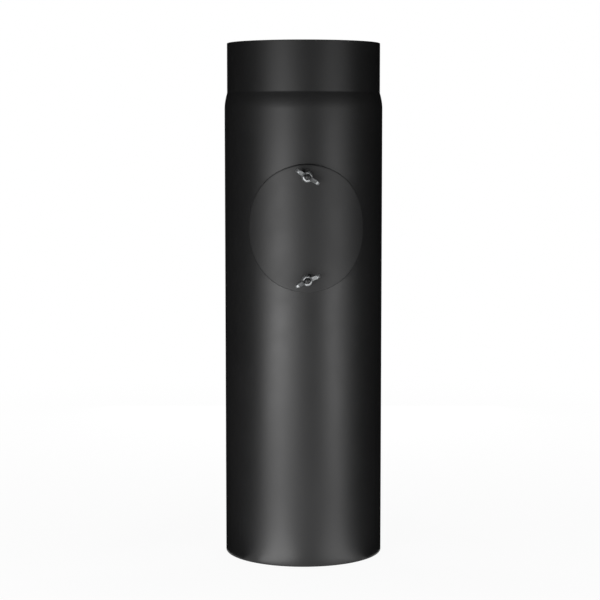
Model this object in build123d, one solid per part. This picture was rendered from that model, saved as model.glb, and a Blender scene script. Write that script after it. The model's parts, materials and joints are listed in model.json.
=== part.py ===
from build123d import *
import os
from math import cos, pi, radians, sin, tan

# Stove pipe with a round cleanout: a seam-welded sheet-steel pipe with a swaged spigot at the top.
# Millimetres. Origin at the centre of the bottom rim, +Z up the pipe, the cleanout faces -Y.

# Pipe
pipe_bore = 150.0
pipe_wall = 2.0
pipe_length = 500.0
spigot_play = 1.0  # the spigot is this much smaller across than the bore it slides into
spigot_length = 48.0
shoulder_angle = 15.0  # slope of the swaged step against the pipe's axis, in degrees
shoulder_blend = 50.0  # outside radius that eases the body into the step

# Weld seam down the back of the body
seam_width = 4.0
seam_height = 0.6
seam_setback = 5.0  # from the bottom rim and from the shoulder to the seam's ends
seam_run_out = 4.0  # length over which each end of the bead fades away

# Cleanout opening, measured on the flat sheet
opening_diameter = 80.0
cleanout_drop = 128.0  # from the foot of the spigot down to the opening's centre

# Cover and gasket, rolled to the pipe's curve
cover_land = 20.0  # width of the cover's overlap round the opening
cover_thickness = 2.0
cover_hole_play = 0.5
gasket_thickness = 1.0
gasket_clearance = 0.2  # between gasket and pipe
gasket_setback = 2.0  # from the opening's edge and from the cover's edge
gasket_hole_play = 1.0

# Weld studs
stud_diameter = 5.0
stud_edge_distance = 11.5  # from the cover's edge to the stud's axis
stud_flange_diameter = 6.5
stud_flange_headroom = 0.3  # between the stud's flange and the cover
stud_chamfer = 0.6
stud_protrusion = 4.3  # past the hub of the tightened nut

# Washers
washer_diameter = 10.0
washer_thickness = 1.0
washer_hole_play = 0.3

# Wing nuts
nut_bore_play = 0.1
hub_base_diameter = 11.0
hub_top_diameter = 9.0
hub_height = 6.5
wing_span = 25.0
wing_height = 13.0
wing_thickness = 3.2
wing_lobe = 4.3  # radius of the wing's round end
wing_foot = 1.0  # height on the hub where the wing's lower edge starts
wing_drop = 0.5  # from the hub's top down to where the wing's upper edge starts
wing_edge = 0.9
upper_wing_angle = -31.0  # turn of the wings from level, seen from the front
lower_wing_angle = 24.7

# Limits and margins
edge_share = 0.4  # the most of a wing's thickness that its bevelled edge may take
blend_share = 0.9  # the most of the step's slope that the shoulder's blend may take
cut_margin = 5.0  # how far a cutting shape reaches past what it cuts
rolled_points = 24  # points that carry the curve of a rolled circle

# Sizes that follow
bore_radius = pipe_bore / 2
body_radius = bore_radius + pipe_wall
spigot_radius = (pipe_bore - spigot_play) / 2
spigot_foot = pipe_length - spigot_length
shoulder_turn = radians(shoulder_angle)
shoulder_step = body_radius - spigot_radius
shoulder_foot = spigot_foot - shoulder_step / tan(shoulder_turn)
turn_reach = tan(shoulder_turn / 2)  # a fillet's reach along each side, for a radius of 1
slope_room = shoulder_step / sin(shoulder_turn) / turn_reach
blend_radius = min(shoulder_blend, blend_share * slope_room)
cleanout_height = spigot_foot - cleanout_drop
cover_diameter = opening_diameter + 2 * cover_land
gasket_inner_radius = body_radius + gasket_clearance
cover_inner_radius = gasket_inner_radius + gasket_thickness
cover_outer_radius = cover_inner_radius + cover_thickness
washer_face = cover_outer_radius + washer_thickness
stud_flange_face = cover_inner_radius - stud_flange_headroom
stud_end = washer_face + hub_height + stud_protrusion
stud_offset = cover_diameter / 2 - stud_edge_distance
stud_heights = {"upper": cleanout_height + stud_offset, "lower": cleanout_height - stud_offset}
wing_angles = {"upper": upper_wing_angle, "lower": lower_wing_angle}


def front_plane(distance, height, turn=0.0):
    """Plane facing -Y in front of the pipe's axis, its X axis turned from level."""
    level = (cos(radians(turn)), 0, sin(radians(turn)))
    return Plane(origin=(0, -distance, height), x_dir=level, z_dir=(0, -1, 0))


def front_cylinder(diameter, start, end, height):
    """Round bar along -Y between two distances from the pipe's axis."""
    return extrude(front_plane(start, height) * Circle(diameter / 2), end - start)


def rolled_circle(diameter, bend_radius, skin_radius):
    """Points of a circle cut in flat sheet and rolled, where it shows on one skin of the sheet.

    Its width bends round the pipe at the middle of the sheet, and its height stays.
    """
    steps = [2 * pi * i / rolled_points for i in range(rolled_points)]
    turns = [diameter / 2 * cos(step) / bend_radius for step in steps]
    return [
        (skin_radius * sin(turn), -skin_radius * cos(turn), diameter / 2 * sin(step))
        for turn, step in zip(turns, steps)
    ]


def rolled_disc(inner_radius, thickness, diameter, hole_diameter=0.0):
    """Disc or ring of flat sheet rolled about the pipe's axis, its edges square to the sheet."""
    middle = inner_radius + thickness / 2
    patch = Cylinder(inner_radius, diameter + cut_margin).faces().filter_by(GeomType.CYLINDER)[0]
    for size, side in ((diameter, Keep.INSIDE), (hole_diameter, Keep.OUTSIDE)):
        if size:
            edge = Spline(*rolled_circle(size, middle, inner_radius), periodic=True)
            patch = patch.split_by_perimeter(Wire(edge), side)
    return Pos(0, 0, cleanout_height) * thicken(patch, thickness)


def opening_cut():
    """Straight cut through the pipe's wall, round when its outside is laid flat."""
    edge = rolled_circle(opening_diameter, body_radius, body_radius)
    front_view = make_face(Spline(*[(x, 0, z) for x, y, z in edge], periodic=True))
    return Pos(0, 0, cleanout_height) * extrude(front_view, body_radius + cut_margin, dir=(0, -1, 0))


def stud_holes(diameter):
    """Round holes at both studs, from the bore out past the cover."""
    return [
        front_cylinder(diameter, bore_radius, cover_outer_radius + cut_margin, height)
        for height in stud_heights.values()
    ]


def wall_section():
    """Section of the pipe's wall: body, eased step and spigot, one thickness throughout."""
    inner_drop = pipe_wall * turn_reach
    corners = [
        (body_radius, 0, 0),
        (body_radius, 0, shoulder_foot),
        (spigot_radius, 0, spigot_foot),
        (spigot_radius, 0, pipe_length),
        (spigot_radius - pipe_wall, 0, pipe_length),
        (spigot_radius - pipe_wall, 0, spigot_foot - inner_drop),
        (bore_radius, 0, shoulder_foot - inner_drop),
        (bore_radius, 0, 0),
    ]
    radii = [0, blend_radius, 0, 0, 0, 0, blend_radius - pipe_wall, 0]
    return make_face(FilletPolyline(*corners, radius=radii, close=True))


def seam_bead():
    """Low rounded weld bead down the back of the body, run out at both ends."""
    bead_radius = (seam_width**2 / 4 + seam_height**2) / (2 * seam_height)
    bottom = seam_setback
    top = shoulder_foot - blend_radius * turn_reach - seam_setback
    crest = body_radius + seam_height
    root = body_radius - pipe_wall / 2
    bar = Pos(0, crest - bead_radius) * Circle(bead_radius)
    proud = Pos(0, (crest + root) / 2) * Rectangle(2 * seam_width, crest - root)
    bead = Pos(0, 0, bottom) * extrude(bar & proud, top - bottom)
    for end, way in ((bottom, -1), (top, 1)):
        slope = Plane(origin=(0, body_radius, end), z_dir=(0, seam_run_out, way * seam_height))
        bead = split(bead, bisect_by=slope, keep=Keep.BOTTOM)
    return bead


def make_pipe():
    """Seam-welded pipe with its spigot and the round opening for the cleanout."""
    shell = revolve(wall_section(), Axis.Z)
    return shell + seam_bead() - opening_cut()


def make_gasket():
    """Fibre ring between pipe and cover, with room for the studs' flanges."""
    outside = cover_diameter - 2 * gasket_setback
    inside = opening_diameter + 2 * gasket_setback
    ring = rolled_disc(gasket_inner_radius, gasket_thickness, outside, inside)
    return ring - stud_holes(stud_flange_diameter + gasket_hole_play)


def make_cover():
    """Round cover of the pipe's own sheet, rolled to sit on the gasket."""
    disc = rolled_disc(cover_inner_radius, cover_thickness, cover_diameter)
    return disc - stud_holes(stud_diameter + cover_hole_play)


def make_stud(height):
    """Weld stud whose flange sits on the pipe's curve."""
    shank = front_cylinder(stud_diameter, bore_radius, stud_end, height)
    tip = shank.faces().sort_by(Axis.Y)[0]
    shank = chamfer(tip.edges(), stud_chamfer)
    flange = front_cylinder(stud_flange_diameter, bore_radius, stud_flange_face, height)
    return shank + flange - Cylinder(body_radius, 2 * pipe_length)


def make_washer(height):
    """Flat washer that the nut presses on the cover."""
    ring = front_cylinder(washer_diameter, cover_outer_radius, washer_face, height)
    hole_end = washer_face + cut_margin
    return ring - front_cylinder(stud_diameter + washer_hole_play, bore_radius, hole_end, height)


def nut_wing(side):
    """One upright wing, widening from the hub's wall to its round end."""
    root = side * (stud_diameter + hub_top_diameter) / 4
    lobe = Pos(side * (wing_span / 2 - wing_lobe), wing_height - wing_lobe) * Circle(wing_lobe)
    root_line = Line((root, wing_foot), (root, hub_height - wing_drop))
    outline = make_hull(lobe.edges() + root_line.edges())
    plate = extrude(Plane.XZ * outline, wing_thickness / 2, both=True)
    flats = plate.faces().filter_by(Axis.Y)
    return chamfer(flats.edges(), min(wing_edge, edge_share * wing_thickness))


def make_wing_nut(height, turn):
    """Wing nut with a tapered hub and two round wings, tight on its washer."""
    base_up = (Align.CENTER, Align.CENTER, Align.MIN)
    hub = Cone(hub_base_diameter / 2, hub_top_diameter / 2, hub_height, align=base_up)
    nut = hub + nut_wing(1) + nut_wing(-1)
    bore_diameter = stud_diameter + nut_bore_play
    nut -= Cylinder(bore_diameter / 2, 2 * wing_height)
    return front_plane(washer_face, height, turn).location * nut


nodes = {
    "pipe": make_pipe(),
    "cleanout_cover": make_cover(),
    "cover_gasket": make_gasket(),
}
for place, height in stud_heights.items():
    nodes[f"{place}_stud"] = make_stud(height)
    nodes[f"{place}_washer"] = make_washer(height)
    nodes[f"{place}_wing_nut"] = make_wing_nut(height, wing_angles[place])

os.makedirs("parts", exist_ok=True)
for name, shape in nodes.items():
    export_step(shape, f"parts/{name}.step")
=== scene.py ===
import json
from math import atan2, cos, pi, radians, sin, tan

import bmesh
import bpy
import numpy as np
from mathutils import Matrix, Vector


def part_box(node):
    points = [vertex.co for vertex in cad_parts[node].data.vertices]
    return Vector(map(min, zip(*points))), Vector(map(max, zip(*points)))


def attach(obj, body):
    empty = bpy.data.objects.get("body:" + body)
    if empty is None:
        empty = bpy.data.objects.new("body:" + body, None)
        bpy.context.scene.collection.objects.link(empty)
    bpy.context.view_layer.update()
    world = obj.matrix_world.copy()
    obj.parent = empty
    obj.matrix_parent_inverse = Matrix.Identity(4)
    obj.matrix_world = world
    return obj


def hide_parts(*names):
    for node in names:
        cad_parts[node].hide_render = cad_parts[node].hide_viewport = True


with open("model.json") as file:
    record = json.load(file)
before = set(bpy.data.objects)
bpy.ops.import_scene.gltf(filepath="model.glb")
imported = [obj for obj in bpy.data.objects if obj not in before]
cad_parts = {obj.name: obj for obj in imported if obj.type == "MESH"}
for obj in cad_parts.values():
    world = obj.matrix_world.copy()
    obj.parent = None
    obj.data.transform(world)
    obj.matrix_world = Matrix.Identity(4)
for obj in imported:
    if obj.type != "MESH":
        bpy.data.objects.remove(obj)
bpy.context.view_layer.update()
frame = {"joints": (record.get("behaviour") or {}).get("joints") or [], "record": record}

import openvdb
from mathutils import Euler

# Stove pipe with a round cleanout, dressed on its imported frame.
# Metres. Origin at the centre of the bottom rim, +Z up the pipe, the cleanout faces -Y.

MM = 0.001

# Sizes read from the frame
mounts = {mount["name"]: mount for mount in frame["record"]["mounts"]}
joints = {joint["name"]: joint for joint in frame["joints"]}
pipe_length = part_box("pipe")[1].z
bore_radius = mounts["bottom_socket"]["dims"]["r_mm"] * MM
spigot_radius = mounts["top_spigot"]["dims"]["r_mm"] * MM
spigot_length = mounts["top_spigot"]["dims"]["length_mm"] * MM
cover_low, cover_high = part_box("cleanout_cover")
cover_reach = (cover_high.z - cover_low.z) / 2
cleanout_height = (cover_high.z + cover_low.z) / 2
cover_skin = -cover_low.y
gasket_low, gasket_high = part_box("cover_gasket")
gasket_reach = (gasket_high.z - gasket_low.z) / 2
gasket_skin = -gasket_low.y
washer_low, washer_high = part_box("upper_washer")
washer_radius = (washer_high.x - washer_low.x) / 2
stud_low, stud_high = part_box("upper_stud")
flange_radius = (stud_high.x - stud_low.x) / 2
stud_end = -stud_low.y
washer_face = -joints["upper_nut_turn"]["pos_m"][1]
stud_heights = {place: joints[f"{place}_nut_turn"]["pos_m"][2] for place in ("upper", "lower")}

# Pipe
pipe_wall = 2.0 * MM
shoulder_turn = radians(15.0)
shoulder_blend = 50.0 * MM
spigot_root = 6.0 * MM  # radius of the hollow where the step meets the spigot
rim_round = 0.5 * MM
opening_radius = 40.0 * MM
opening_edge = 0.4 * MM
pipe_columns = 240
block_columns = 25  # columns each side of the front that the opening's block takes
block_height = 50.0 * MM  # from the opening's centre to the block's upper and lower side
block_rows = 35
below_rows = 16  # from the bottom rim up to the block
above_rows = 8  # from the block up to the shoulder
spigot_rows = 6
spigot_clear = 2.0 * MM  # from the spigot's foot up to its first straight row

# Weld seam down the back
seam_width = 4.0 * MM
seam_height = 0.6 * MM
seam_setback = 5.0 * MM
seam_run_out = 4.0 * MM
ripple_pitch = 1.5 * MM
ripple_share = 0.16  # of the bead's height
ripple_bow = 0.9  # pitches by which a ripple's ends lie below its middle
ripple_rows = 7  # rows of points along one ripple
seam_columns = 15
seam_sink = 0.25 * MM  # depth of the bead's hidden base in the wall
seam_skirt = 0.02 * MM  # how far the bead's edges dip under the pipe's skin
seam_wander = ((0.12 * MM, 23.0 * MM), (0.08 * MM, 7.1 * MM))  # sway, and height per radian, of two waves

# Cover and gasket
cover_thickness = 2.0 * MM
cover_edge = 0.7 * MM
cover_hole_radius = 2.75 * MM
gasket_thickness = 1.0 * MM
gasket_inner_reach = 42.0 * MM
gasket_edge = 0.35 * MM
gasket_hole_radius = 3.75 * MM
gasket_fray = 0.12 * MM
fray_width = 2.0 * MM  # of the band along an edge that frays
coarse_fray = (31, 17)  # waves round the edge, multiplied with each other
fine_fray = (57, 11)
fine_fray_share = 0.6  # of the coarse waves' height
sheet_columns = 256
hole_columns = 6  # columns each side of a stud that its hole's block takes
hole_block = 7.0 * MM  # from a stud's axis to its block's inner and outer side
hole_block_rows = 11
within_rows = 12  # from the middle or the inner edge to the blocks
beyond_rows = 4  # from the blocks to the outer edge

# Studs and washers
stud_radius = 2.5 * MM
stud_chamfer = 0.6 * MM
flange_face = 77.9 * MM
flange_edge = 0.15 * MM
thread_pitch = 0.8 * MM
thread_depth = 0.49 * MM
thread_start = 0.8 * MM  # plain neck above the flange
thread_flat = 0.125  # share of the pitch that root and crest are each flat
thread_rows = 12  # rows of points along one pitch
weld_flash = 0.3 * MM
flash_fade = 6.0  # how fast the flash thins out up the flange
flash_top = 0.5  # share of the flange's height that the flash stays under
flange_rise = (0.0, 0.12, 0.3, 0.7, 0.93, 1.0)  # the flange's rows, as shares of its height
flange_ease = (0, 0, 0, 0, 0.3, 1)  # setback of those rows, as shares of the rounded edge
stud_columns = 48
washer_thickness = 1.0 * MM
washer_hole_radius = 2.65 * MM
washer_edge = 0.22 * MM
washer_edge_rows = 7
washer_columns = 96

# Wing nuts
nut_bore_radius = 2.55 * MM
nut_countersink = 0.45 * MM
hub_base_radius = 5.5 * MM
hub_top_radius = 4.5 * MM
hub_height = 6.5 * MM
hub_edge = 1.2 * MM
wing_reach = 12.5 * MM
wing_height = 13.0 * MM
wing_lobe = 4.3 * MM
wing_neck = 2.7 * MM  # half the wing's height where it leaves the hub
neck_blend = 4.0 * MM  # width of the blend between neck and lobe
wing_root_place = (3.5 * MM, 3.5 * MM)
wing_half = 1.6 * MM
wing_edge = 1.2 * MM
lobe_swell = 0.3 * MM  # how much thicker the middle of a lobe is, on each side
nut_blend = 1.3 * MM  # width of the cast blend between wings and hub
bore_edge = 0.12 * MM
nut_voxel = 0.16 * MM
nut_room = 4  # cells of room on each side of the nut
slope_step = 0.1  # share of a cell over which the distance's slope is taken
settle_share = 0.8  # share of its distance that a corner moves in one pass
settle_passes = 3
wing_angles = {"upper": radians(-31.0), "lower": radians(24.7)}

# Rows of a rounded edge, rows of a sheet round a hole, and the closing of seams
edge_rows = 5
hole_rows = 7
hole_gather = 1.5  # power that gathers a sheet's rows at the hole
merge_distance = 0.002 * MM  # points of a mesh nearer than this become one

# Sizes that follow
body_radius = bore_radius + pipe_wall
spigot_foot = pipe_length - spigot_length
shoulder_step = body_radius - spigot_radius
shoulder_foot = spigot_foot - shoulder_step / tan(shoulder_turn)
turn_reach = tan(shoulder_turn / 2)
blend_foot = shoulder_foot - shoulder_blend * turn_reach
stud_reach = stud_heights["upper"] - cleanout_height


def make_piece(name, points, faces, body, slot, replaced=(), finish=None):
    """Mesh piece from arrays of points and faces, welded at its seams, riding on its body."""
    mesh = bpy.data.meshes.new(name)
    corner_lists = [corners for part in faces for corners in part.tolist()]
    mesh.from_pydata(points.reshape(-1, 3).tolist(), [], corner_lists)
    work = bmesh.new()
    work.from_mesh(mesh)
    bmesh.ops.remove_doubles(work, verts=work.verts, dist=merge_distance)
    bmesh.ops.recalc_face_normals(work, faces=work.faces)
    work.to_mesh(mesh)
    work.free()
    mesh.polygons.foreach_set("use_smooth", np.ones(len(mesh.polygons), bool))
    mesh.materials.append(finishes[finish or slot])
    piece = bpy.data.objects.new(name, mesh)
    bpy.context.scene.collection.objects.link(piece)
    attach(piece, body)
    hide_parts(*replaced)


def grid_faces(rows, columns, first=0, close_rows=False, close_columns=True):
    """Quads between neighbouring rows and columns of points numbered row by row, as a grid of quads."""
    row = np.arange(rows if close_rows else rows - 1)[:, None]
    column = np.arange(columns if close_columns else columns - 1)[None, :]
    next_row = (row + 1) % rows
    next_column = (column + 1) % columns
    corners = [
        row * columns + column,
        row * columns + next_column,
        next_row * columns + next_column,
        next_row * columns + column,
    ]
    return first + np.stack(corners, axis=-1)


def without_blocks(faces, blocks):
    """Quads of a grid as a list, less those inside blocks of rows and columns."""
    kept = np.ones(faces.shape[:2], bool)
    for rows, columns in blocks:
        kept[rows[0]:rows[1], columns[0]:columns[1]] = False
    return faces[kept]


def block_rim(flat, rows, columns):
    """Points round a block of a grid, once round."""
    block = flat[rows[0]:rows[1] + 1, columns[0]:columns[1] + 1]
    return np.concatenate([block[0, :-1], block[:-1, -1], block[-1, :0:-1], block[:0:-1, 0]])


def unit(vectors):
    """Vectors cut to length one."""
    return vectors / np.linalg.norm(vectors, axis=-1, keepdims=True)


def rounded_corners(corners, radii, steps):
    """Arcs that round each corner of a closed outline and touch both sides, one row of points each.

    An arc's centre lies on the corner's bisector at radius / cos(half turn), and its points swing
    from half the turn on one side of the bisector to half the turn on the other.
    """
    corners = np.array(corners)
    radii = np.array(radii)[:, None]
    before = unit(np.roll(corners, 1, axis=0) - corners)
    after = unit(np.roll(corners, -1, axis=0) - corners)
    half_turn = (pi - np.arccos((before * after).sum(axis=1, keepdims=True))) / 2
    bisector = unit(before + after)
    sideways = unit(after - before)
    centres = corners + bisector * radii / np.cos(half_turn)
    swing = half_turn * np.linspace(-1, 1, steps)
    spokes = sideways[:, None] * np.sin(swing)[..., None] - bisector[:, None] * np.cos(swing)[..., None]
    return centres[:, None] + radii[..., None] * spokes


def edge_turn(edge, thickness):
    """Setback from a sheet's edge and depth below its front, round the edge from front to back."""
    quarter = np.linspace(0, pi / 2, edge_rows)
    setback = edge * (1 - np.sin(quarter))
    depth = edge * (1 - np.cos(quarter))
    return np.concatenate([setback, setback[::-1]]), np.concatenate([depth, thickness - depth[::-1]])


def rolled(turn, up, radius):
    """Points on a round sheet: a turn about the pipe's axis from the front, a height and a radius."""
    return np.stack(np.broadcast_arrays(radius * np.sin(turn), -radius * np.cos(turn), up), axis=-1)


def hole_patch(rim, centre, hole_radius, edge, skin, thickness, bend):
    """Rolled sheet from a block's rim to the round hole in it, over the hole's edge and back behind.

    On the flat sheet each rim point is joined to the hole's centre by a line, and the rows step along
    these lines. Through the sheet's thickness the hole runs straight along Y, so the back's points
    turn a little further out, by arcsin(skin * sin(turn) / radius).
    """
    spokes = unit(rim - centre)
    lip = centre + hole_radius * spokes
    room = np.linalg.norm(rim - lip, axis=1) - edge
    share = np.linspace(1, 0, hole_rows) ** hole_gather
    setback, depth = edge_turn(edge, thickness)
    rows_share = np.concatenate([share, 0 * setback, share[::-1]])[:, None]
    rows_setback = np.concatenate([0 * share + edge, setback, 0 * share + edge])[:, None]
    rows_depth = np.concatenate([0 * share, depth, 0 * share + thickness])[:, None]
    flat = lip + spokes * (rows_setback + rows_share * room)[..., None]
    radius = skin - rows_depth
    lip_turn = lip[:, 0] / bend
    lean = np.arcsin(skin * np.sin(lip_turn) / radius) - lip_turn
    return rolled(flat[..., 0] / bend + lean * (1 - rows_share), flat[..., 1], radius)


def pipe_profile():
    """Closed section of the pipe's wall as radius and height, with its rows on the opening's block.

    Straight sides joined by arcs: up the outside, over the spigot's rim, down the inside.
    """
    drop = pipe_wall * turn_reach
    narrow = spigot_radius - pipe_wall
    corners = [
        (body_radius, 0),
        (body_radius, shoulder_foot),
        (spigot_radius, spigot_foot),
        (spigot_radius, pipe_length),
        (narrow, pipe_length),
        (narrow, spigot_foot - drop),
        (bore_radius, shoulder_foot - drop),
        (bore_radius, 0),
    ]
    radii = [
        rim_round,
        shoulder_blend,
        spigot_root,
        rim_round,
        rim_round,
        spigot_root + pipe_wall,
        shoulder_blend - pipe_wall,
        rim_round,
    ]
    arcs = rounded_corners(corners, radii, 2 * edge_rows)
    block = cleanout_height + block_height * np.linspace(-1, 1, block_rows)
    below = np.linspace(2 * rim_round, block[0], below_rows)[:-1]
    above = np.linspace(block[-1], blend_foot - rim_round, above_rows)[1:]
    body = np.concatenate([below, block, above])
    spigot = np.linspace(spigot_foot + spigot_clear, pipe_length - 2 * rim_round, spigot_rows)

    def wall(radius, heights):
        """Straight stretch of the section at one radius."""
        return np.stack([np.full_like(heights, radius), heights], axis=1)

    outside = [arcs[0], wall(body_radius, body), arcs[1], arcs[2], wall(spigot_radius, spigot), arcs[3]]
    inside = [arcs[4], wall(narrow, spigot[::-1]), arcs[5], arcs[6], wall(bore_radius, body[::-1]), arcs[7]]
    profile = np.concatenate(outside + inside)
    first = len(arcs[0]) + len(below)
    last = len(profile) - 1 - first
    outer_rows = (first, first + len(block) - 1)
    inner_rows = (last - len(block) + 1, last)
    return profile, outer_rows, inner_rows


def make_pipe():
    """Pipe wall: the section carried round the axis, with the round opening let into its front."""
    profile, outer_rows, inner_rows = pipe_profile()
    turns = 2 * pi * (np.arange(pipe_columns) / pipe_columns - 0.5)
    points = rolled(turns, profile[:, 1:], profile[:, :1])
    middle = pipe_columns // 2
    columns = (middle - block_columns, middle + block_columns)
    faces = grid_faces(len(profile), pipe_columns, close_rows=True)
    wall_faces = without_blocks(faces, [(outer_rows, columns), (inner_rows, columns)])
    across = np.broadcast_to(turns * body_radius, points.shape[:2])
    flat = np.stack([across, points[..., 2]], axis=-1)
    rim = block_rim(flat, outer_rows, columns)
    centre = np.array([0, cleanout_height])
    patch = hole_patch(rim, centre, opening_radius, opening_edge, body_radius, pipe_wall, body_radius)
    patch_faces = grid_faces(*patch.shape[:2], first=points.shape[0] * points.shape[1])
    points = np.concatenate([points.reshape(-1, 3), patch.reshape(-1, 3)])
    faces = [wall_faces, patch_faces.reshape(-1, 4)]
    make_piece("pipe_wall", points, faces, "pipe_body", "black_paint", ["pipe"])


def make_seam():
    """Weld bead: a low arched section carried up the back, rippled like solidified weld metal.

    Its height is an arch, 1 - (across / half width) squared, faded at both ends, with ripples whose
    crests bow along the seam.
    """
    top = blend_foot - seam_setback
    rows = np.arange(seam_setback, top, ripple_pitch / ripple_rows)[:, None]
    across = np.linspace(-1, 1, seam_columns)
    from_end = np.minimum(rows - seam_setback, top - rows) / seam_run_out
    fade = np.clip(from_end, 0, 1) ** 0.5
    wander = sum(sway * np.sin(rows / per_radian) for sway, per_radian in seam_wander)
    ripple = 1 + ripple_share * np.sin(2 * pi * (rows / ripple_pitch + ripple_bow * across**2))
    arch = seam_height * (1 - across**2) * fade * ripple * (1 - ripple_share)
    top_radius = body_radius + arch - seam_skirt
    base_radius = np.full_like(top_radius, body_radius - seam_sink)
    radius = np.concatenate([top_radius, base_radius[:, ::-1]], axis=1)
    turn = pi + (across * seam_width / 2 + wander) / body_radius
    turn = np.concatenate([turn, turn[:, ::-1]], axis=1)
    points = rolled(turn, rows, radius)
    count = points.shape[1]
    caps = np.stack([np.arange(count)[::-1], np.arange(count) + points[:-1, :, 0].size])
    sides = grid_faces(*points.shape[:2]).reshape(-1, 4)
    make_piece("weld_seam", points, [sides, caps], "pipe_body", "black_paint")


def plate_rows(inner, outer, edge, thickness):
    """Reach from the middle and depth of a plate's rows, front from inside out and back again.

    Rows gather at the stud holes' blocks. A ring also turns round its inner edge, and a disc closes in
    a pole at its middle.
    """
    block = stud_reach + hole_block * np.linspace(-1, 1, hole_block_rows)
    start = inner + edge if inner > 0 else 0.0
    within = np.linspace(start, block[0], within_rows)[:-1]
    beyond = np.linspace(block[-1], outer - edge, beyond_rows)[1:]
    front = np.concatenate([within, block, beyond])
    setback, depth = edge_turn(edge, thickness)
    reach = [front, outer - setback, front[::-1]]
    depths = [0 * front, depth, 0 * front + thickness]
    if inner > 0:
        reach.append(inner + setback[::-1])
        depths.append(depth[::-1])
    first = len(within)
    last = 2 * len(front) + len(setback) - 1 - first
    blocks = [(first, first + len(block) - 1), (last - len(block) + 1, last)]
    return np.concatenate(reach), np.concatenate(depths), blocks


def make_plate(name, node, slot, finish, skin, thickness, inner, outer, edge, hole_radius, fray=0.0):
    """Round plate or ring of flat sheet with two stud holes, rolled to the pipe's curve.

    A grid of reach and direction about its middle, bent about the pipe at the middle of the sheet.
    A frayed edge moves in and out with the direction.
    """
    reach, depth, rows = plate_rows(inner, outer, edge, thickness)
    ring = inner > 0
    way = 2 * pi * np.arange(sheet_columns) / sheet_columns
    coarse = np.sin(coarse_fray[0] * way) * np.sin(coarse_fray[1] * way + 1)
    fine = fine_fray_share * np.sin(fine_fray[0] * way + 2) * np.sin(fine_fray[1] * way)
    near_edge = np.clip(1 - np.minimum(outer - reach, reach - inner) / fray_width, 0, 1)
    reach = reach[:, None] - fray * near_edge[:, None] * np.abs(coarse + fine)
    flat = np.stack([reach * np.cos(way), cleanout_height + reach * np.sin(way)], axis=-1)
    bend = skin - thickness / 2
    points = [rolled(flat[..., 0] / bend, flat[..., 1], skin - depth[:, None]).reshape(-1, 3)]
    faces = grid_faces(*flat.shape[:2], close_rows=ring)
    quarter = sheet_columns // 4
    blocks = []
    patch_faces = []
    for middle, height in ((quarter, stud_heights["upper"]), (3 * quarter, stud_heights["lower"])):
        columns = (middle - hole_columns, middle + hole_columns)
        blocks += [(rows[0], columns), (rows[1], columns)]
        rim = block_rim(flat, rows[0], columns)
        patch = hole_patch(rim, np.array([0, height]), hole_radius, edge / 2, skin, thickness, bend)
        first = sum(len(part) for part in points)
        patch_faces.append(grid_faces(*patch.shape[:2], first=first).reshape(-1, 4))
        points.append(patch.reshape(-1, 3))
    faces = [without_blocks(faces, blocks)] + patch_faces
    make_piece(name, np.concatenate(points), faces, "cover", slot, [node], finish)


def turned(along, radius, height, columns):
    """Points of a section carried round a stud's axis: distance in front of the pipe's axis and radius."""
    way = 2 * pi * np.arange(columns) / columns
    parts = np.broadcast_arrays(radius * np.cos(way), -along, height + radius * np.sin(way))
    return np.stack(parts, axis=-1)


def make_stud(place):
    """Weld stud: flange on the pipe's curve, plain neck, then a right-hand thread up to a chamfered tip.

    The thread's radius follows a trapezium wave of the distance in pitches less the turn.
    """
    way = 2 * pi * np.arange(stud_columns) / stud_columns
    rise = np.array(flange_rise)
    flash = weld_flash * np.exp(-flash_fade * rise) * (rise < flash_top)
    flange = flange_radius - flange_edge * np.array(flange_ease) + flash
    seat = np.sqrt(body_radius**2 - (flange[0] * np.cos(way)) ** 2)
    flange_along = seat + rise[:, None] * (flange_face - seat)
    along = np.arange(flange_face, stud_end, thread_pitch / thread_rows)[:, None]
    phase = (along / thread_pitch - way / (2 * pi)) % 1
    wave = np.clip((1 - np.abs(2 * phase - 1) - thread_flat) / (1 - 2 * thread_flat), 0, 1)
    cut = np.clip((along - flange_face - thread_start) / thread_pitch, 0, 1)
    tip = stud_radius - stud_chamfer
    shank = np.minimum(stud_radius - thread_depth * (1 - wave) * cut, tip + (stud_end - along))
    pole = np.zeros((1, stud_columns))
    end = pole + stud_end
    flange_wall = np.broadcast_to(flange[:, None], flange_along.shape)
    shank_along = np.broadcast_to(along, shank.shape)
    radius = np.concatenate([pole, flange_wall, shank, pole + tip, pole])
    distance = np.concatenate([pole + body_radius, flange_along, shank_along, end, end])
    points = turned(distance, radius, stud_heights[place], stud_columns)
    faces = [grid_faces(*points.shape[:2]).reshape(-1, 4)]
    make_piece(f"{place}_threaded_stud", points, faces, "pipe_body", "black_paint", [f"{place}_stud"])


def make_washer(place):
    """Flat washer: a rectangle with rounded corners carried round the stud's axis."""
    corners = [
        (washer_face - washer_thickness, washer_hole_radius),
        (washer_face - washer_thickness, washer_radius),
        (washer_face, washer_radius),
        (washer_face, washer_hole_radius),
    ]
    outline = rounded_corners(corners, [washer_edge] * len(corners), washer_edge_rows).reshape(-1, 2)
    points = turned(outline[:, :1], outline[:, 1:], stud_heights[place], washer_columns)
    faces = [grid_faces(*points.shape[:2], close_rows=True).reshape(-1, 4)]
    make_piece(f"{place}_round_washer", points, faces, f"{place}_washer", "zinc_steel", [f"{place}_washer"])


def soft_join(first, second, width):
    """Distance to two joined shapes, with a blend of the given width where they meet."""
    overlap = np.clip(width - np.abs(first - second), 0, None) / width
    return np.minimum(first, second) - width * overlap**2 / 4


def rounded_both(first, second, edge):
    """Distance to what two shapes share, its edge rounded."""
    first_out = np.clip(first + edge, 0, None)
    second_out = np.clip(second + edge, 0, None)
    return np.hypot(first_out, second_out) + np.minimum(np.maximum(first, second) + edge, 0) - edge


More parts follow.
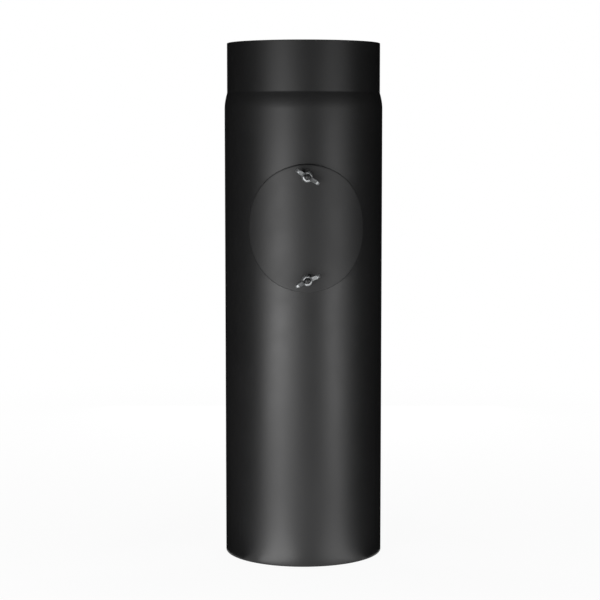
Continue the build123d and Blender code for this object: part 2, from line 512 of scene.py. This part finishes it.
def nut_distance(across, aside, along):
    """Distance to a cast wing nut's surface, less than zero inside.

    The hub is a cone between two flat ends. Each wing is a plate whose outline joins a straight neck of
    one width to the larger circle of its lobe. Neck and lobe, and hub and wings, run into each other in
    soft blends, and the bore with its countersink is taken out.
    """
    from_axis = np.hypot(across, aside)
    slope = (hub_base_radius - hub_top_radius) / hub_height
    cone = (from_axis - hub_base_radius + slope * along) / np.hypot(1, slope)
    hub = rounded_both(cone, np.maximum(-along, along - hub_height), hub_edge)
    lobe_place = np.array([wing_reach - wing_lobe, wing_height - wing_lobe])
    spine = lobe_place - np.array(wing_root_place)
    spine_length = np.hypot(*spine)
    out = np.abs(across) - wing_root_place[0]
    up = along - wing_root_place[1]
    lengthwise = (out * spine[0] + up * spine[1]) / spine_length
    sideways = np.abs(out * spine[1] - up * spine[0]) / spine_length
    neck = np.hypot(lengthwise - np.clip(lengthwise, 0, spine_length), sideways) - wing_neck
    from_lobe = np.hypot(lengthwise - spine_length, sideways)
    outline = soft_join(neck, from_lobe - wing_lobe, neck_blend)
    swell = lobe_swell * np.clip(1 - from_lobe / wing_lobe, 0, 1)
    wing = rounded_both(outline, np.abs(aside) - wing_half - swell, wing_edge)
    nut = soft_join(hub, wing, nut_blend)
    sink = np.clip(along - hub_height + nut_countersink, 0, None)
    bore = nut_bore_radius + sink - from_axis
    return rounded_both(nut, bore, bore_edge)


def make_wing_nut(place):
    """Cast wing nut: the skin where the nut's distance is zero, drawn on a fine grid of cells.

    Each corner of the skin is then moved along the distance's slope, in a few passes, onto the surface.
    """
    room = nut_room * nut_voxel
    low = np.array([-wing_reach, -hub_base_radius, 0]) - room
    high = np.array([wing_reach, hub_base_radius, wing_height]) + room
    counts = np.ceil((high - low) / nut_voxel).astype(int)
    axes = [start + nut_voxel * np.arange(count) for start, count in zip(low, counts)]
    cells = nut_distance(*np.meshgrid(*axes, indexing="ij"))
    grid = openvdb.FloatGrid(float(room))
    grid.copyFromArray(np.ascontiguousarray(cells / nut_voxel, dtype=np.float64))
    skin, quads = grid.convertToQuads()
    skin = low + nut_voxel * np.asarray(skin, dtype=float)
    step = slope_step * nut_voxel
    for _ in range(settle_passes):
        distance = nut_distance(*skin.T)
        moved = [nut_distance(*(skin + step * axis).T) for axis in np.eye(3)]
        slope = (np.stack(moved, axis=1) - distance[:, None]) / step
        skin = skin - settle_share * unit(slope) * distance[:, None]
    turn = wing_angles[place]
    across, aside, along = skin.T
    points = np.stack([
        across * cos(turn) - aside * sin(turn),
        -washer_face - along,
        stud_heights[place] + across * sin(turn) + aside * cos(turn),
    ], axis=1)
    make_piece(f"{place}_cast_wing_nut", points, [np.asarray(quads)], f"{place}_nut", "zinc_steel",
               [f"{place}_wing_nut"])


# Finishes

texture_low = 0.3  # a noise texture's middle range, which the finishes spread
texture_high = 0.7
paint_dark = (0.0055, 0.0055, 0.0057)
paint_light = (0.0085, 0.0085, 0.0088)
paint_grain = 0.35 * MM
paint_peel = 2.2 * MM
paint_cloud = 45.0 * MM
zinc_dark = (0.33, 0.34, 0.35)
zinc_light = (0.44, 0.45, 0.45)
zinc_cloud = 3.0 * MM
zinc_pit = 0.3 * MM
fibre_dark = (0.62, 0.60, 0.55)
fibre_light = (0.84, 0.82, 0.77)
fibre_size = 0.9 * MM
cross_size = 0.7 * MM
fibre_scale = 0.35  # the noise's scale along a fibre, against 1 across it


def new_finish(name):
    """Empty node material with its shader and its object coordinates."""
    material = bpy.data.materials.new(name)
    material.use_nodes = True
    nodes = material.node_tree.nodes
    shader = nodes["Principled BSDF"]
    place = nodes.new("ShaderNodeTexCoord").outputs["Object"]
    return material, shader, place


def add_noise(material, place, size, detail=3.0, roughness=0.55, stretch=(1, 1, 1)):
    """Noise whose features are about the given size in metres, drawn out along an axis if stretched."""
    tree = material.node_tree
    mapping = tree.nodes.new("ShaderNodeMapping")
    mapping.inputs["Scale"].default_value = stretch
    noise = tree.nodes.new("ShaderNodeTexNoise")
    noise.inputs["Scale"].default_value = 1 / size
    noise.inputs["Detail"].default_value = detail
    noise.inputs["Roughness"].default_value = roughness
    tree.links.new(place, mapping.inputs["Vector"])
    tree.links.new(mapping.outputs["Vector"], noise.inputs["Vector"])
    return noise.outputs["Fac"]


def add_range(material, value, low, high):
    """Value from a texture's middle range mapped to run from low to high."""
    tree = material.node_tree
    node = tree.nodes.new("ShaderNodeMapRange")
    node.inputs["From Min"].default_value = texture_low
    node.inputs["From Max"].default_value = texture_high
    node.inputs["To Min"].default_value = low
    node.inputs["To Max"].default_value = high
    tree.links.new(value, node.inputs["Value"])
    return node.outputs["Result"]


def add_ramp(material, value, dark, light):
    """Colour between a dark and a light one, led by a texture's middle range."""
    tree = material.node_tree
    ramp = tree.nodes.new("ShaderNodeValToRGB")
    ramp.color_ramp.elements[0].position = texture_low
    ramp.color_ramp.elements[1].position = texture_high
    ramp.color_ramp.elements[0].color = (*dark, 1)
    ramp.color_ramp.elements[1].color = (*light, 1)
    tree.links.new(value, ramp.inputs["Fac"])
    return ramp.outputs["Color"]


def add_bump(material, height, depth, strength, below=None):
    """Bump of a texture with the given depth in metres, on top of another bump."""
    tree = material.node_tree
    bump = tree.nodes.new("ShaderNodeBump")
    bump.inputs["Distance"].default_value = depth
    bump.inputs["Strength"].default_value = strength
    tree.links.new(height, bump.inputs["Height"])
    if below is not None:
        tree.links.new(below, bump.inputs["Normal"])
    return bump.outputs["Normal"]


def black_paint(name, smoothest, roughest):
    """Matt heat-resistant paint: near black, a fine sprayed grain and slightly uneven gloss."""
    material, shader, place = new_finish(name)
    link = material.node_tree.links.new
    grain = add_noise(material, place, paint_grain, detail=2)
    peel = add_noise(material, place, paint_peel)
    cloud = add_noise(material, place, paint_cloud)
    link(add_ramp(material, grain, paint_dark, paint_light), shader.inputs["Base Color"])
    link(add_range(material, cloud, smoothest, roughest), shader.inputs["Roughness"])
    soft = add_bump(material, peel, depth=0.02 * MM, strength=0.5)
    link(add_bump(material, grain, depth=0.012 * MM, strength=0.6, below=soft), shader.inputs["Normal"])
    shader.inputs["Specular IOR Level"].default_value = 0.4
    return material


def zinc_steel():
    """Satin zinc plating on cast and rolled steel: grey metal, cloudy gloss, a faintly pitted skin."""
    material, shader, place = new_finish("zinc_steel")
    link = material.node_tree.links.new
    cloud = add_noise(material, place, zinc_cloud)
    pits = add_noise(material, place, zinc_pit, detail=4)
    link(add_ramp(material, cloud, zinc_dark, zinc_light), shader.inputs["Base Color"])
    link(add_range(material, cloud, low=0.6, high=0.5), shader.inputs["Roughness"])
    link(add_bump(material, pits, depth=0.02 * MM, strength=0.4), shader.inputs["Normal"])
    shader.inputs["Metallic"].default_value = 1.0
    return material


def gasket_fibre():
    """Pressed fibre felt: off-white, matt, with short fibres drawn out along the sheet."""
    material, shader, place = new_finish("gasket_fibre")
    link = material.node_tree.links.new
    fibre = add_noise(material, place, fibre_size, detail=5, roughness=0.7, stretch=(fibre_scale, 1, 1))
    cross = add_noise(material, place, cross_size, detail=5, roughness=0.7, stretch=(1, 1, fibre_scale))
    link(add_ramp(material, fibre, fibre_dark, fibre_light), shader.inputs["Base Color"])
    soft = add_bump(material, cross, depth=0.12 * MM, strength=0.7)
    link(add_bump(material, fibre, depth=0.15 * MM, strength=0.8, below=soft), shader.inputs["Normal"])
    shader.inputs["Roughness"].default_value = 0.95
    shader.inputs["Specular IOR Level"].default_value = 0.2
    return material


# Camera and studio

camera_range = 1.6997  # from the pipe's axis, along the floor
camera_height = 0.4132
camera_side = radians(-2.5)  # turn of the view round the pipe
camera_pitch = radians(5.512)
axis_pixel = 303.46  # the pipe's axis across the 600 pixel frame
frame_pixels = 600
focal_pixels = 1729.9
sensor_width = 36.0
world_light = 0.35  # level at which the world lights the object
floor_size = 8.0  # from the pipe to the floor's sides
floor_grey = 0.85
floor_white = 0.93  # share of plain white near the pipe, where the rest keeps the shadow
floor_fade = (0.15, 1.2)  # distances between which that share rises to 1
softbox_distance = 0.9
panel_distance = 0.268  # from the pipe's axis to a floor panel's middle
panel_height = 0.0008
panel_width = 0.055
panel_length = 0.37
flag_heights = (0.02, 0.56)
flag_reach = (0.095, 0.25)
screen_black = 0.005
card_columns = 24
card_height = 0.8
far_card = 1.0  # distance of the cards behind the softboxes
near_card = 0.25  # distance of the cards beside the pipe, and reach of those on the floor
floor_card_foot = 0.078
floor_card_height = 0.001


def make_camera():
    """Camera at the photograph's viewing angle."""
    data = bpy.data.cameras.new("camera")
    data.sensor_width = sensor_width
    data.lens = sensor_width * focal_pixels / frame_pixels
    camera = bpy.data.objects.new("camera", data)
    camera.location = (camera_range * sin(camera_side), -camera_range * cos(camera_side), camera_height)
    aside = atan2(axis_pixel - frame_pixels / 2, focal_pixels)
    camera.rotation_euler = Euler((pi / 2 - camera_pitch, 0, camera_side + aside))
    bpy.context.scene.collection.objects.link(camera)
    bpy.context.scene.camera = camera


def seen_directly(tree):
    """Light path value that is 1 for camera, glossy and transmission rays and 0 for others."""
    path = tree.nodes.new("ShaderNodeLightPath")
    value = path.outputs["Is Camera Ray"]
    for ray in ("Is Glossy Ray", "Is Transmission Ray"):
        most = tree.nodes.new("ShaderNodeMath")
        most.operation = "MAXIMUM"
        tree.links.new(value, most.inputs[0])
        tree.links.new(path.outputs[ray], most.inputs[1])
        value = most.outputs["Value"]
    return value


def make_world():
    """World that looks white and lights softly."""
    world = bpy.data.worlds.new("studio")
    bpy.context.scene.world = world
    world.use_nodes = True
    tree = world.node_tree
    background = tree.nodes["Background"]
    mix = tree.nodes.new("ShaderNodeMix")
    mix.data_type = "RGBA"
    mix.inputs["A"].default_value = (world_light, world_light, world_light, 1)
    mix.inputs["B"].default_value = (1, 1, 1, 1)
    tree.links.new(seen_directly(tree), mix.inputs["Factor"])
    tree.links.new(mix.outputs["Result"], background.inputs["Color"])


def make_floor():
    """Plain white floor that keeps the shadow near the pipe and runs out into the white world."""
    mesh = bpy.data.meshes.new("floor")
    ways = ((-1, -1), (1, -1), (1, 1), (-1, 1))
    corners = [(floor_size * across, floor_size * back, 0) for across, back in ways]
    mesh.from_pydata(corners, [], [(0, 1, 2, 3)])
    floor = bpy.data.objects.new("floor", mesh)
    bpy.context.scene.collection.objects.link(floor)
    material = bpy.data.materials.new("floor")
    material.use_nodes = True
    tree = material.node_tree
    tree.nodes.remove(tree.nodes["Principled BSDF"])
    output = tree.nodes["Material Output"]
    place = tree.nodes.new("ShaderNodeTexCoord")
    distance = tree.nodes.new("ShaderNodeVectorMath")
    distance.operation = "LENGTH"
    fade = tree.nodes.new("ShaderNodeMapRange")
    fade.inputs["From Min"].default_value = floor_fade[0]
    fade.inputs["From Max"].default_value = floor_fade[1]
    fade.inputs["To Min"].default_value = floor_white
    fade.inputs["To Max"].default_value = 1.0
    share = tree.nodes.new("ShaderNodeMath")
    share.operation = "MULTIPLY"
    white = tree.nodes.new("ShaderNodeEmission")
    matt = tree.nodes.new("ShaderNodeBsdfDiffuse")
    matt.inputs["Color"].default_value = (floor_grey, floor_grey, floor_grey, 1)
    mix = tree.nodes.new("ShaderNodeMixShader")
    tree.links.new(place.outputs["Object"], distance.inputs[0])
    tree.links.new(distance.outputs["Value"], fade.inputs["Value"])
    tree.links.new(fade.outputs["Result"], share.inputs[0])
    tree.links.new(seen_directly(tree), share.inputs[1])
    tree.links.new(share.outputs["Value"], mix.inputs["Fac"])
    tree.links.new(matt.outputs["BSDF"], mix.inputs[1])
    tree.links.new(white.outputs["Emission"], mix.inputs[2])
    tree.links.new(mix.outputs["Shader"], output.inputs["Surface"])
    mesh.materials.append(material)


def make_light(name, turn, distance, height, heading, tilt, width, length, power):
    """Area light at a turn round the pipe from the camera's side, with a heading and a tilt of its own."""
    data = bpy.data.lights.new(name, "AREA")
    data.shape = "RECTANGLE"
    data.size = width
    data.size_y = length
    data.energy = power
    light = bpy.data.objects.new(name, data)
    turn = radians(turn) + camera_side
    light.location = (distance * sin(turn), -distance * cos(turn), height)
    light.rotation_euler = Euler((tilt, 0, radians(heading) + camera_side))
    light.visible_camera = False
    bpy.context.scene.collection.objects.link(light)


def make_softbox(name, turn, low, high, width, power):
    """Upright area light facing the pipe, between two heights."""
    make_light(name, turn, softbox_distance, (low + high) / 2, turn, pi / 2, width, high - low, power)


def make_floor_panel(name, turn, heading, power):
    """Narrow area light just above the floor, facing up, that runs out from the pipe's foot."""
    make_light(name, turn, panel_distance, panel_height, heading, pi, panel_width, panel_length, power)


def make_screen(name, points, throws_shadow):
    """Black studio screen from a grid of points, which the camera doesn't see."""
    mesh = bpy.data.meshes.new(name)
    faces = grid_faces(*points.shape[:2], close_columns=False).reshape(-1, 4)
    mesh.from_pydata(points.reshape(-1, 3).tolist(), [], faces.tolist())
    material = bpy.data.materials.get("black_screen") or bpy.data.materials.new("black_screen")
    material.use_nodes = True
    shader = material.node_tree.nodes["Principled BSDF"]
    shader.inputs["Base Color"].default_value = (screen_black, screen_black, screen_black, 1)
    shader.inputs["Specular IOR Level"].default_value = 0.0
    mesh.materials.append(material)
    screen = bpy.data.objects.new(name, mesh)
    bpy.context.scene.collection.objects.link(screen)
    screen.visible_camera = False
    screen.visible_diffuse = False
    screen.visible_shadow = throws_shadow
    screen.visible_transmission = False


def make_card(name, first_turn, last_turn, distance, low=0.0, high=card_height, foot=None):
    """Black card, curved round the pipe, that only the gloss of the paint and metal shows.

    It stands between two heights, at one distance or leaning out from its foot.
    """
    turns = np.radians(np.linspace(first_turn, last_turn, card_columns)) + camera_side
    heights = np.array([[low], [high]])
    reach = np.array([[distance if foot is None else foot], [distance]])
    make_screen(name, rolled(turns, heights, reach), throws_shadow=False)


def make_floor_card(name, first_turn, last_turn):
    """Black card flat above the floor, from the pipe's foot outwards."""
    make_card(name, first_turn, last_turn, near_card, floor_card_height, floor_card_height, floor_card_foot)


def make_flag(name, turn):
    """Upright black flag that stands out from the pipe's side and keeps a front softbox off its back."""
    heights = np.array(flag_heights)[:, None]
    reach = np.array(flag_reach)
    make_screen(name, rolled(radians(turn) + camera_side, heights, reach), throws_shadow=True)


def make_studio():
    """Softboxes in front, the left ones stronger, one behind, floor panels, flags and cards.

    Turns are in degrees round the pipe from the camera's side, and powers in watts.
    """
    make_softbox("left_softbox", turn=-32, low=0.08, high=0.30, width=0.22, power=3.8)
    make_softbox("left_low_softbox", turn=-48, low=0.0, high=0.08, width=0.11, power=0.75)
    make_softbox("front_softbox", turn=-13, low=0.08, high=0.30, width=0.11, power=1.1)
    make_softbox("right_softbox", turn=41, low=0.08, high=0.30, width=0.11, power=1.9)
    make_softbox("right_low_softbox", turn=48, low=0.0, high=0.08, width=0.11, power=0.47)
    make_softbox("back_softbox", turn=180, low=0.0, high=0.6, width=0.6, power=4.8)
    make_floor_panel("left_floor_panel", turn=-31, heading=-37, power=0.27)
    make_floor_panel("right_floor_panel", turn=41, heading=48, power=0.115)
    make_flag("left_flag", turn=-70)
    make_flag("right_flag", turn=75)
    make_card("front_card", first_turn=-20, last_turn=28, distance=far_card)
    make_card("left_card", first_turn=-162, last_turn=-50, distance=near_card)
    make_card("right_card", first_turn=60, last_turn=162, distance=near_card)
    make_card("upper_card", first_turn=-75, last_turn=85, distance=far_card, low=0.62, high=3.0)
    make_floor_card("left_floor_card", first_turn=-162, last_turn=-50)
    make_floor_card("right_floor_card", first_turn=54, last_turn=162)


finishes = {
    "black_paint": black_paint("black_paint", smoothest=0.43, roughest=0.49),
    "cover_paint": black_paint("cover_paint", smoothest=0.48, roughest=0.54),
    "zinc_steel": zinc_steel(),
    "gasket_fibre": gasket_fibre(),
}

make_pipe()
make_seam()
make_plate("cover_plate", "cleanout_cover", "black_paint", "cover_paint", cover_skin, cover_thickness, 0.0,
           cover_reach, cover_edge, cover_hole_radius)
make_plate("gasket_ring", "cover_gasket", "gasket_fibre", "gasket_fibre", gasket_skin, gasket_thickness,
           gasket_inner_reach, gasket_reach, gasket_edge, gasket_hole_radius, gasket_fray)
for place in stud_heights:
    make_stud(place)
    make_washer(place)
    make_wing_nut(place)

make_world()
make_floor()
make_studio()
make_camera()
bpy.context.scene.view_settings.view_transform = "Standard"
